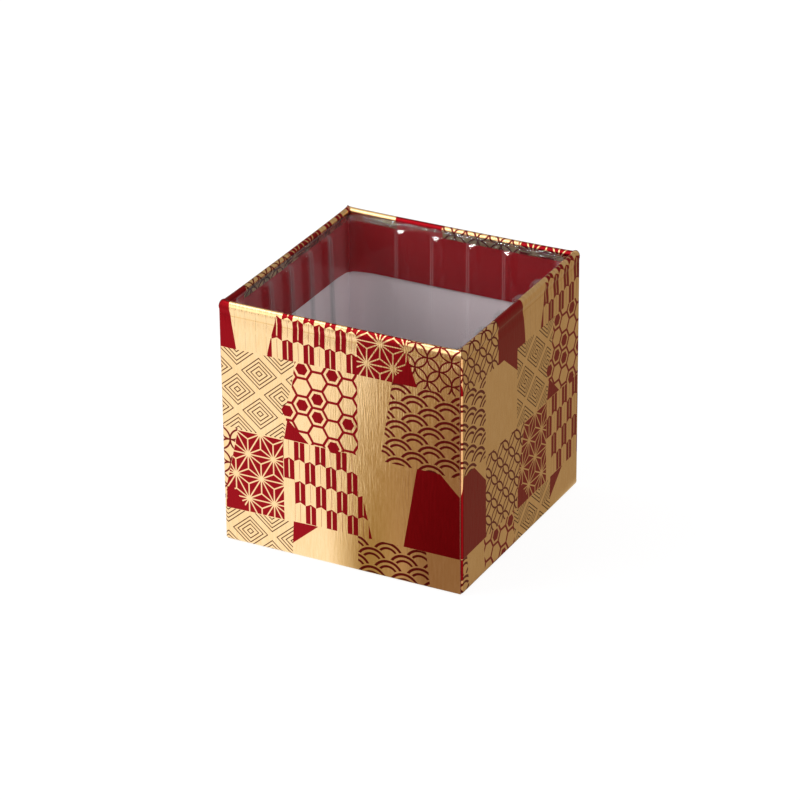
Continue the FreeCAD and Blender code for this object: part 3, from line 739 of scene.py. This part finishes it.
def stars_ink(across, up):
    """Hemp-leaf stars: twelve gold rays from each point of a triangular lattice, on red."""
    pitch, half_line = 7.0, 0.17
    rise = pitch * math.sqrt(3)
    near = None
    for shift in (0, 0.5):
        x = (across + pitch * shift).wrap(pitch)
        y = (up + rise * shift).wrap(rise)
        reach = distance(x, y)
        turn = y.math("ARCTAN2", x).wrap(math.radians(30))
        line = (reach * turn.math("SINE")).size()
        if near is None:
            near, nearest = line, reach
        else:
            first = nearest.below(reach)
            near = near * first + line * (1 - first)
    return 1 - near.cover(half_line)


def hexagons_ink(across, up):
    """Tortoiseshell hexagons: red outlines of flat-topped cells."""
    column, row, half_line = 4.14, 4.78, 0.34

    def cell(x, y):
        x, y = x.wrap(2 * column).size(), y.wrap(row).size()
        return y.most(y * 0.5 + x * (math.sqrt(3) / 2))

    near = cell(across, up).least(cell(across + column, up + row / 2))
    return (row / 2 - near).cover(half_line)


def diamonds_ink(across, up):
    """Nested diamonds in thin lines."""
    wide, high, half_wide, half_high = 12.2, 10.7, 4.78, 4.12
    true_size = 3.12            # a diamond's middle to its side

    def rings(x, y):
        return x.wrap(wide).size() / half_wide + y.wrap(high).size() / half_high

    near = rings(across, up).least(rings(across + wide / 2, up + high / 2))
    line = None
    for ring in (1.0, 0.74, 0.475, 0.18):
        gap = (near - ring).size() * true_size
        line = gap if line is None else line.least(gap)
    return line.cover(0.13)


# What draws each motif, and the ink it is drawn in
MOTIFS = {
    "arrows": (arrows_ink, RED),
    "quills": (quills_ink, DARK_INK),
    "rings": (rings_ink, LINE_INK),
    "waves": (waves_ink, LINE_INK),
    "stars": (stars_ink, RED),
    "hexagons": (hexagons_ink, RED),
    "diamonds": (diamonds_ink, DARK_INK),
}


def start_material(name):
    material = bpy.data.materials.new(name)
    material.use_nodes = True
    tree = material.node_tree
    return material, tree, tree.nodes["Principled BSDF"]


def add_node(tree, kind, **values):
    """Add a shader node and set its inputs by name."""
    node = tree.nodes.new("ShaderNode" + kind)
    for name, value in values.items():
        node.inputs[name].default_value = value
    return node


def first_two(tree, vector):
    """Return a vector's first two parts."""
    parts = add_node(tree, "SeparateXYZ")
    tree.links.new(vector, parts.inputs[0])
    return Field(tree, parts.outputs["X"]), Field(tree, parts.outputs["Y"])


def map_fields(tree, name):
    """Return the two coordinates of one of the mesh's maps."""
    source = add_node(tree, "UVMap")
    source.uv_map = name
    return first_two(tree, source.outputs["UV"])


def noise(tree, across, up, across_scale, up_scale, detail=3.0, seed=0.0):
    """Noise over the sheet with its own scale each way, in repeats a millimetre."""
    place = add_node(tree, "CombineXYZ", Z=seed)
    for entry, value in zip(place.inputs, (across * across_scale, up * up_scale)):
        tree.links.new(value.socket, entry)
    texture = add_node(tree, "TexNoise", Scale=1.0, Detail=detail, Roughness=0.6)
    tree.links.new(place.outputs[0], texture.inputs["Vector"])
    return Field(tree, texture.outputs["Fac"])


def mix_colour(tree, share, first, second):
    """Blend two colours, each given as a constant or as a socket."""
    node = add_node(tree, "Mix")
    node.data_type = "RGBA"
    tree.links.new(share.socket, node.inputs["Factor"])
    for entry, colour in zip((node.inputs[6], node.inputs[7]), (first, second)):
        if isinstance(colour, tuple):
            entry.default_value = colour
        else:
            tree.links.new(colour, entry)
    return node.outputs[2]


def mix_shader(tree, share, first, second):
    node = add_node(tree, "MixShader")
    tree.links.new(share.socket, node.inputs["Fac"])
    tree.links.new(first, node.inputs[1])
    tree.links.new(second, node.inputs[2])
    return node.outputs[0]


def add_bump(tree, shader, height, depth):
    """Bump the surface by a field; depth is in millimetres."""
    bump = add_node(tree, "Bump", Distance=depth * MM)
    tree.links.new(height.socket, bump.inputs["Height"])
    tree.links.new(bump.outputs["Normal"], shader.inputs["Normal"])


def shade(colour, shares):
    """Darken a colour by a share for each of its parts."""
    return tuple(part * share for part, share in zip(colour, shares)) + (1,)


def foil_grain_and_rim_shade(tree):
    """Return the foil's upright grain, and a colour share that follows it, with painted shade under the
    rolled rim.
    """
    across, up = map_fields(tree, "sheet")
    grain = noise(tree, across, up, 1.9, 0.24).share(2.0, -0.5)
    cloud = noise(tree, across, up, 0.09, 0.05, detail=2.0, seed=3.0)
    # painted shade: a dark line along the fold just under the rolled rim, on every foil
    crease_shade = (up - RIM_SHADE_LEVEL).size().cover(RIM_SHADE_HALF)
    return grain, grain * 0.7 + cloud * 0.5 - crease_shade * 0.9


def plain_foil(name, colour, shades, roughness, metal):
    """Foil in one colour: bare gold, or satin ink all over."""
    material, tree, shader = start_material(name)
    grain, grain_and_shade = foil_grain_and_rim_shade(tree)
    tree.links.new(mix_colour(tree, grain_and_shade, shade(colour, shades), colour), shader.inputs["Base Color"])
    tree.links.new((grain * GRAIN_ROUGHNESS + roughness).socket, shader.inputs["Roughness"])
    shader.inputs["Metallic"].default_value = metal
    add_bump(tree, shader, grain, GRAIN_DEPTH)
    return material


def printed_foil(name, motif, colour):
    """Gold foil with satin ink where the motif puts it."""
    material, tree, shader = start_material(name)
    grain, grain_and_shade = foil_grain_and_rim_shade(tree)
    ink = motif(*map_fields(tree, "motif"))
    gold = mix_colour(tree, grain_and_shade, shade(GOLD, GOLD_SHADES), GOLD)
    inked = mix_colour(tree, grain_and_shade, shade(colour, INK_SHADES), colour)
    tree.links.new(mix_colour(tree, ink, gold, inked), shader.inputs["Base Color"])
    rough = grain * GRAIN_ROUGHNESS + ink * (INK_ROUGHNESS - GOLD_ROUGHNESS) + GOLD_ROUGHNESS
    tree.links.new(rough.socket, shader.inputs["Roughness"])
    tree.links.new((1 - ink * (1 - INK_METAL)).socket, shader.inputs["Metallic"])
    add_bump(tree, shader, grain + ink * INK_RELIEF, GRAIN_DEPTH)
    return material


def card_material(name, colour, dark):
    """Uncoated card with faint fibres."""
    material, tree, shader = start_material(name)
    across, up = map_fields(tree, "sheet")
    fibre = noise(tree, across, up, 1.6, 1.3, detail=6.0)
    cloud = noise(tree, across, up, 0.08, 0.08, detail=2.0, seed=5.0)
    tree.links.new(mix_colour(tree, fibre * 0.6 + cloud * 0.4, dark, colour), shader.inputs["Base Color"])
    shader.inputs["Roughness"].default_value = 0.75
    add_bump(tree, shader, fibre, 0.02)
    return material


def film_material():
    """Clear film: see-through face on, glossier and a little milky at a glancing view."""
    material, tree, shader = start_material("clear_film")
    tree.nodes.remove(shader)
    facing = Field(tree, add_node(tree, "LayerWeight", Blend=0.5).outputs["Facing"])
    shine = facing.math("POWER", 7.0) * 0.15 + 0.014
    milk = facing.math("POWER", 4.0) * 0.055 + 0.001
    clear = add_node(tree, "BsdfTransparent", Color=(0.99, 0.99, 0.99, 1))
    gloss = add_node(tree, "BsdfGlossy", Roughness=0.06)
    haze = add_node(tree, "BsdfDiffuse", Color=(0.88, 0.86, 0.87, 1))
    body = mix_shader(tree, milk, clear.outputs[0], haze.outputs[0])
    film = mix_shader(tree, shine, body, gloss.outputs[0])
    tree.links.new(film, tree.nodes["Material Output"].inputs["Surface"])
    return material


def make_materials():
    """Make one material for each slot of the sheet."""
    return {
        "gold": plain_foil("foil_gold", GOLD, GOLD_SHADES, GOLD_ROUGHNESS, 1.0),
        "red": plain_foil("foil_red", RED, INK_SHADES, INK_ROUGHNESS, INK_METAL),
        "flap": plain_foil("foil_red_flap", FLAP_RED, INK_SHADES, INK_ROUGHNESS, FLAP_METAL),
        # painted shade in the rim's mitred corner folds
        "crease_shade": card_material("mitre_fold_shade", (0.10, 0.012, 0.012, 1), (0.05, 0.008, 0.008, 1)),
        # the card is white; its pink tint is painted red bounce light from the flap
        "card": card_material("white_card_red_bounce", (0.92, 0.83, 0.86, 1), (0.86, 0.77, 0.80, 1)),
        "edge": card_material("cut_card_edge", (0.42, 0.17, 0.10, 1), (0.28, 0.10, 0.06, 1)),
    } | {name: printed_foil("foil_" + name, *motif) for name, motif in MOTIFS.items()}


# ---- studio ------------------------------------------------------------------------------------

FLOOR_HALF = 1500.0         # half the side of the floor
MIRROR_RUN = 1.78           # length of floor that a millimetre of the wall beside it mirrors
MIRROR_SLANT = 0.95         # slant of the lines along which the mirrored floor changes
MIRROR_FADE = 26.0          # width of that change
WINDOW = Vector((-0.465, -0.885, 0.05)).normalized()    # direction of the light part of the studio


def colour_ramp(tree, share, stops):
    """Blend through colours at given shares."""
    node = add_node(tree, "ValToRGB")
    tree.links.new(share.socket, node.inputs["Fac"])
    elements = node.color_ramp.elements
    while len(elements) < len(stops):
        elements.new(0.5)
    for element, (place, colour) in zip(elements, stops):
        element.position = place
        element.color = colour
    return node.outputs["Color"]


def choose_by_ray(tree, lit, mirrored, seen):
    """Use one shader for lighting, one for what gloss reflects and one for what the camera sees."""
    path = add_node(tree, "LightPath").outputs
    camera = Field(tree, path["Is Camera Ray"]).most(Field(tree, path["Is Transmission Ray"]))
    unseen = mix_shader(tree, Field(tree, path["Is Glossy Ray"]), lit, mirrored)
    return mix_shader(tree, camera, unseen, seen)


def painted_floor_reflection(tree):
    """Return the floor's colour where the foil reflects it: painted light and shade, set by place alone.

    It is light at the front left and darkens to the right along slanting lines. Beside the right
    wall it is dim with the tray's painted shadow, and light again in front of that. Behind the tray
    it is nearly dark.
    """
    x, y = first_two(tree, add_node(tree, "NewGeometry").outputs["Position"])
    x, y = x / MM, y / MM
    ahead = (-HALF - y) / MIRROR_RUN
    bend = (ahead - 30).most(0.0).least(30.0) * 0.30
    slanted = x + ahead * MIRROR_SLANT + 4 - bend
    front = colour_ramp(tree, slanted.share(1 / MIRROR_FADE), (
        (0.0, (1, 1, 1, 1)), (0.13, (0.74, 0.68, 0.55, 1)), (0.36, (0.32, 0.23, 0.10, 1)),
        (0.50, (0.31, 0.23, 0.10, 1)), (0.76, (0.42, 0.31, 0.20, 1)), (1.0, (0.24, 0.15, 0.09, 1))))
    right = (x - HALF).share(0.25, 0.5)
    beside = mix_colour(tree, ahead.share(0.2), (0.315, 0.238, 0.145, 1), (0.95, 0.75, 0.62, 1))
    behind = (y - HALF).share(1 / 30) * (1 - right)
    return mix_colour(tree, behind, mix_colour(tree, right, front, beside), (0.10, 0.07, 0.04, 1))


def make_floor():
    """A white floor that keeps a faint shadow; the foil mirrors its painted light and shade."""
    corners = np.array([(-1, -1, 0), (1, -1, 0), (1, 1, 0), (-1, 1, 0)]) * FLOOR_HALF
    floor = new_object("floor", corners * MM, [(0, 1, 2, 3)])
    floor.location.z = -0.02 * MM
    material, tree, shader = start_material("pale_floor")
    tree.nodes.remove(shader)
    diffuse = add_node(tree, "BsdfDiffuse", Color=(0.8, 0.8, 0.8, 1))
    white = add_node(tree, "Emission", Color=(1, 1, 1, 1), Strength=0.90)
    faint = add_node(tree, "BsdfDiffuse", Color=(0.14, 0.14, 0.14, 1))
    seen = add_node(tree, "AddShader")
    tree.links.new(white.outputs[0], seen.inputs[0])
    tree.links.new(faint.outputs[0], seen.inputs[1])
    # painted reflection: to glossy rays the floor glows with painted light and shade
    mirrored = add_node(tree, "Emission", Strength=1.2)
    tree.links.new(painted_floor_reflection(tree), mirrored.inputs["Color"])
    whole = choose_by_ray(tree, diffuse.outputs[0], mirrored.outputs[0], seen.outputs[0])
    tree.links.new(whole, tree.nodes["Material Output"].inputs["Surface"])
    floor.data.materials.append(material)


def make_world():
    """White to the camera and grey for light; gloss finds it warm, and lighter at the window."""
    world = bpy.data.worlds.new("studio")
    bpy.context.scene.world = world
    world.use_nodes = True
    tree = world.node_tree
    seen = tree.nodes["Background"]
    seen.inputs["Color"].default_value = (1, 1, 1, 1)
    ambient = add_node(tree, "Background", Color=(0.78, 0.77, 0.78, 1))
    mirrored = add_node(tree, "Background")
    direction = add_node(tree, "TexCoord").outputs["Generated"]
    _, depth = first_two(tree, direction)
    wall = colour_ramp(tree, depth, ((0.3, (0.82, 0.79, 0.70, 1)), (0.75, (0.38, 0.32, 0.24, 1))))
    tree.links.new(wall, mirrored.inputs["Color"])
    window = add_node(tree, "VectorMath")
    window.operation = "DOT_PRODUCT"
    window.inputs[1].default_value = WINDOW
    tree.links.new(direction, window.inputs[0])
    glow = Field(tree, window.outputs["Value"]).share(8.0, -7.0) * 1.1 + 1.0
    tree.links.new(glow.socket, mirrored.inputs["Strength"])
    whole = choose_by_ray(tree, ambient.outputs[0], mirrored.outputs[0], seen.outputs[0])
    tree.links.new(whole, tree.nodes["World Output"].inputs["Surface"])


def add_light(name, direction, away, size, power, only=None):
    """Hang a square light in a direction from the tray, facing it; it may light one piece only.

    How far away it hangs and its size are in metres, and its power is in watts.
    """
    lamp = bpy.data.lights.new(name, "AREA")
    lamp.size = size
    lamp.energy = power
    obj = bpy.data.objects.new(name, lamp)
    target = Vector((0, 0, HEIGHT * MM / 2))
    obj.location = target + Vector(direction).normalized() * away
    obj.rotation_euler = (target - obj.location).to_track_quat("-Z", "Y").to_euler()
    bpy.context.scene.collection.objects.link(obj)
    if only is not None:
        lit = bpy.data.collections.new(name + "_lit")
        lit.objects.link(only)
        obj.light_linking.receiver_collection = lit


def make_camera():
    """Look down at the front right corner with a long lens."""
    azimuth, elevation, roll = math.radians(27.72), math.radians(26.20), math.radians(-0.568)
    offset = Vector((-0.0104, -0.0205, 14.12)) * SIDE * MM     # right, up and back from the tray's middle
    data = bpy.data.cameras.new("camera")
    data.sensor_width = 36.0
    data.lens = 168.0
    data.clip_start = 0.01
    camera = bpy.data.objects.new("camera", data)
    turn = (Matrix.Rotation(azimuth, 4, "Z") @ Matrix.Rotation(math.pi / 2 - elevation, 4, "X")
            @ Matrix.Rotation(roll, 4, "Z"))
    middle = Vector((0, 0, HEIGHT * MM / 2))
    camera.matrix_world = Matrix.Translation(middle) @ turn @ Matrix.Translation(offset)
    bpy.context.scene.collection.objects.link(camera)
    bpy.context.scene.camera = camera


def main():
    materials = make_materials()
    make_tray(materials)
    liner = make_liner(film_material())
    make_floor()
    make_world()
    add_light("key", (-0.80, -0.36, 0.58), 1.3, 1.2, 12.0)
    add_light("rib_spark", (-0.42, -0.75, 0.54), 0.6, 0.25, 13.0, only=liner)
    add_light("rib_fill", (0.75, -0.20, 0.63), 0.6, 0.25, 9.0, only=liner)
    add_light("fill", (0.75, -0.55, 0.45), 1.3, 0.7, 0.8)
    make_camera()
    bpy.context.scene.view_settings.view_transform = "Standard"


main()
